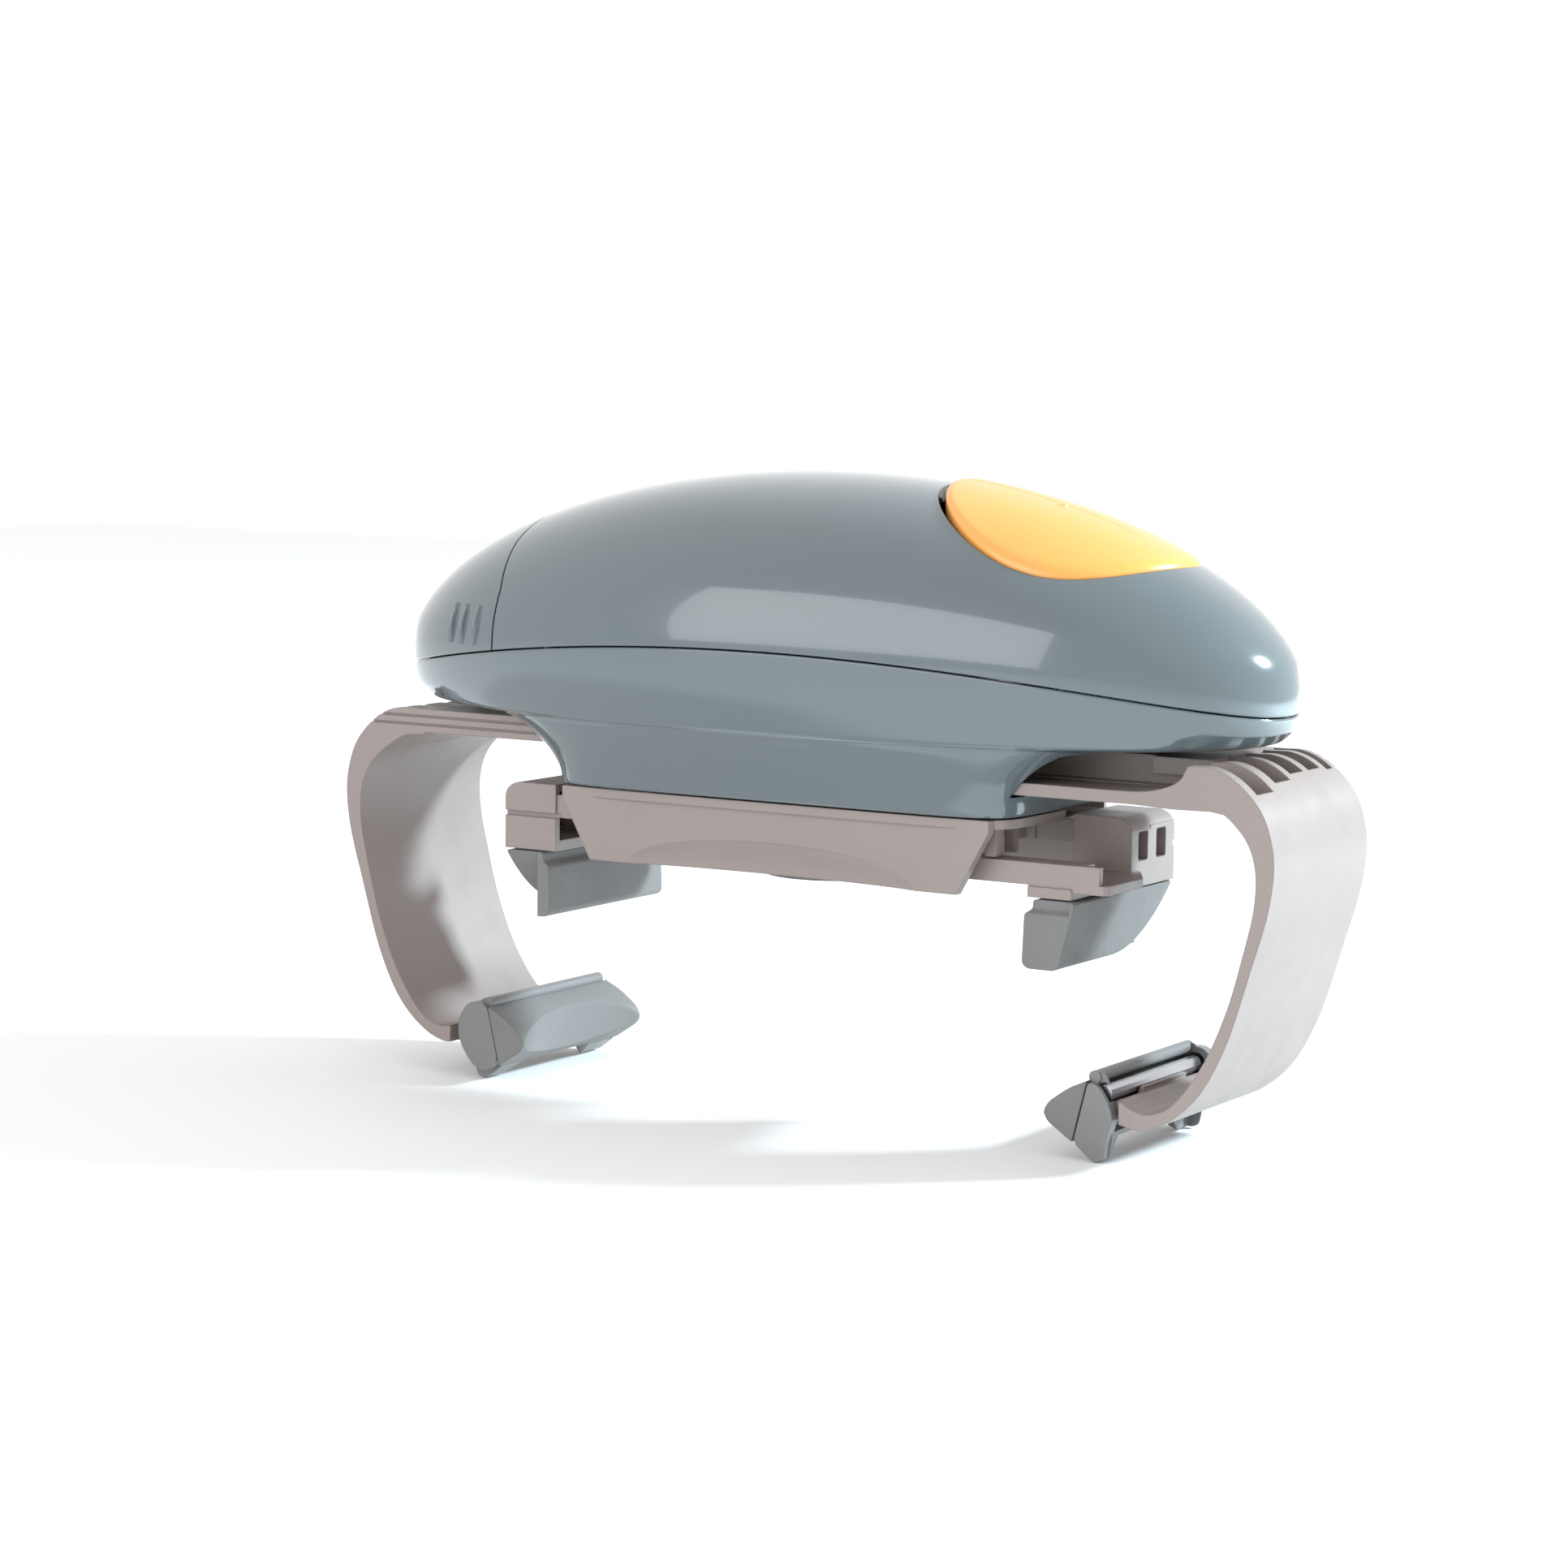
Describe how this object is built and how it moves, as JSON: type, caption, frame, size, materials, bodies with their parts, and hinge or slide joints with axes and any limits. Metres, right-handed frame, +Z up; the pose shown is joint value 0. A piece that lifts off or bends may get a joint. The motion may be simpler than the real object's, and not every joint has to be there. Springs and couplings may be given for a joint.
{
  "type": "electric jar opener",
  "caption": "Battery-powered jar opener: an oval housing with a push button, two sliding arms that clamp the jar, and a turntable whose jaws clamp and turn the lid.",
  "frame": {"origin": "on the drive axis, at the level of the feet of the grips", "axes": "+X along the housing towards the button, +Y across the housing, +Z up along the drive axis"},
  "size_m": [0.1868, 0.068, 0.1117],
  "materials": {
    "shell": "smooth glossy moulded plastic, grey with a blue-green cast",
    "button": "smooth glossy moulded plastic, warm orange-yellow",
    "moulding": "satin moulded plastic, warm grey",
    "holder": "satin moulded plastic, mid grey",
    "rubber": "matte moulded rubber, mid grey",
    "steel": "bright steel",
    "motor_can": "drawn and plated steel can",
    "brass": "machined brass",
    "contact": "plated spring metal",
    "gear_nylon": "moulded acetal, off-white",
    "black_plastic": "moulded black plastic",
    "cell_wrap": "printed film wrap over steel, no lettering",
    "board": "green solder mask"
  },
  "bodies": {
    "housing": {"upper_shell": "shell", "lower_shell": "shell", "housing_screw_1": "steel", "housing_screw_2": "steel", "housing_screw_3": "steel", "housing_screw_4": "steel", "motor": "motor_can", "motor_bracket": "black_plastic", "planet_carrier": "steel", "gear_plate": "steel", "reduction_axle": "steel", "battery_holder": "black_plastic", "battery_1": "cell_wrap", "battery_2": "cell_wrap", "battery_contact_1": "contact", "battery_contact_2": "contact", "battery_bridge": "contact", "circuit_board": "board", "button_switch": "black_plastic", "button_spring": "steel", "button_hinge_pin": "steel"},
    "battery_cover": {"battery_cover": "shell"},
    "button": {"button": "button"},
    "right_arm": {"right_arm": "moulding", "right_grip_pin": "steel"},
    "left_arm": {"left_arm": "moulding", "left_grip_pin": "steel"},
    "right_grip": {"right_grip_holder": "holder", "right_grip_rubber": "rubber"},
    "left_grip": {"left_grip_holder": "holder", "left_grip_rubber": "rubber"},
    "ring_gear": {"ring_gear": "gear_nylon"},
    "planet_gear_1": {"planet_gear_1": "gear_nylon"},
    "planet_gear_2": {"planet_gear_2": "gear_nylon"},
    "planet_gear_3": {"planet_gear_3": "gear_nylon"},
    "sun_gear": {"sun_gear": "gear_nylon"},
    "reduction_gear": {"reduction_gear": "gear_nylon"},
    "motor_pinion": {"motor_pinion": "brass"},
    "turntable": {"turntable": "moulding", "turntable_retainer": "steel", "lid_plate": "rubber"},
    "right_jaw": {"right_jaw": "moulding", "right_jaw_rubber": "rubber"},
    "left_jaw": {"left_jaw": "moulding", "left_jaw_rubber": "rubber"},
    "jaw_pinion": {"jaw_pinion": "gear_nylon"}
  },
  "joints": [
    {"name": "right_arm_slide", "type": "slide", "parent": "housing", "child": "right_arm", "axis": [1, 0, 0], "range_m": [-0.027, 0]},
    {"name": "left_arm_slide", "type": "slide", "parent": "housing", "child": "left_arm", "axis": [-1, 0, 0], "range_m": [-0.028, 0.001]},
    {"name": "ring_gear_spin", "type": "hinge", "parent": "housing", "child": "ring_gear", "pos_m": [0, 0, 0.071], "axis": [0, 0, 1], "range_deg": [-5, 226]},
    {"name": "planet_1_spin", "type": "hinge", "parent": "housing", "child": "planet_gear_1", "pos_m": [0.0105, 0, 0.074], "axis": [0, 0, 1], "range_deg": [-5, 742]},
    {"name": "planet_2_spin", "type": "hinge", "parent": "housing", "child": "planet_gear_2", "pos_m": [-0.00525, 0.00909, 0.074], "axis": [0, 0, 1], "range_deg": [-5, 742]},
    {"name": "planet_3_spin", "type": "hinge", "parent": "housing", "child": "planet_gear_3", "pos_m": [-0.00525, -0.00909, 0.074], "axis": [0, 0, 1], "range_deg": [-5, 742]},
    {"name": "sun_gear_spin", "type": "hinge", "parent": "housing", "child": "sun_gear", "pos_m": [0, 0, 0.076], "axis": [0, 0, 1], "range_deg": [-558, 5]},
    {"name": "reduction_gear_spin", "type": "hinge", "parent": "housing", "child": "reduction_gear", "pos_m": [0.01668, -0.00778, 0.078], "axis": [0, 0, 1], "range_deg": [-5, 1994]},
    {"name": "motor_pinion_spin", "type": "hinge", "parent": "housing", "child": "motor_pinion", "pos_m": [0.02477, 0.00188, 0.078], "axis": [0, 0, 1], "range_deg": [-6370, 5]},
    {"name": "turntable_spin", "type": "hinge", "parent": "housing", "child": "turntable", "pos_m": [0, 0, 0.056], "axis": [0, 0, 1], "continuous": true},
    {"name": "right_jaw_slide", "type": "slide", "parent": "turntable", "child": "right_jaw", "axis": [1, 0, 0], "range_m": [-0.028, 0]},
    {"name": "left_jaw_slide", "type": "slide", "parent": "turntable", "child": "left_jaw", "axis": [-1, 0, 0], "range_m": [-0.029, 0.001]},
    {"name": "jaw_pinion_spin", "type": "hinge", "parent": "turntable", "child": "jaw_pinion", "pos_m": [0, 0, 0.051], "axis": [0, 0, 1], "range_deg": [-5, 235]},
    {"name": "button_press", "type": "hinge", "parent": "housing", "child": "button", "pos_m": [0.066, 0, 0.0895], "axis": [0, -1, 0], "range_deg": [0, 2.5], "stiffness_Nm_per_rad": 1.2, "springref_deg": -2.86, "deforming": ["button_spring"]},
    {"name": "battery_cover_slide", "type": "slide", "parent": "housing", "child": "battery_cover", "axis": [-1, 0, 0], "range_m": [0, 0.035]},
    {"name": "right_grip_rock", "type": "hinge", "parent": "right_arm", "child": "right_grip", "pos_m": [0.0635, 0, 0.0115], "axis": [0, 1, 0], "range_deg": [-8, 8]},
    {"name": "left_grip_rock", "type": "hinge", "parent": "left_arm", "child": "left_grip", "pos_m": [-0.0635, 0, 0.0115], "axis": [0, -1, 0], "range_deg": [-8, 8]}
  ],
  "couplings": [
    {"joint": "left_arm_slide", "follows": "right_arm_slide", "ratio": 1},
    {"joint": "ring_gear_spin", "follows": "right_arm_slide", "rad_per_m": -142.86},
    {"joint": "planet_1_spin", "follows": "right_arm_slide", "rad_per_m": -476.19},
    {"joint": "planet_2_spin", "follows": "right_arm_slide", "rad_per_m": -476.19},
    {"joint": "planet_3_spin", "follows": "right_arm_slide", "rad_per_m": -476.19},
    {"joint": "sun_gear_spin", "follows": "right_arm_slide", "rad_per_m": 357.14},
    {"joint": "reduction_gear_spin", "follows": "right_arm_slide", "rad_per_m": -1285.7},
    {"joint": "motor_pinion_spin", "follows": "right_arm_slide", "rad_per_m": 4114.3},
    {"joint": "left_jaw_slide", "follows": "right_jaw_slide", "ratio": 1},
    {"joint": "jaw_pinion_spin", "follows": "right_jaw_slide", "rad_per_m": -142.86}
  ]
}
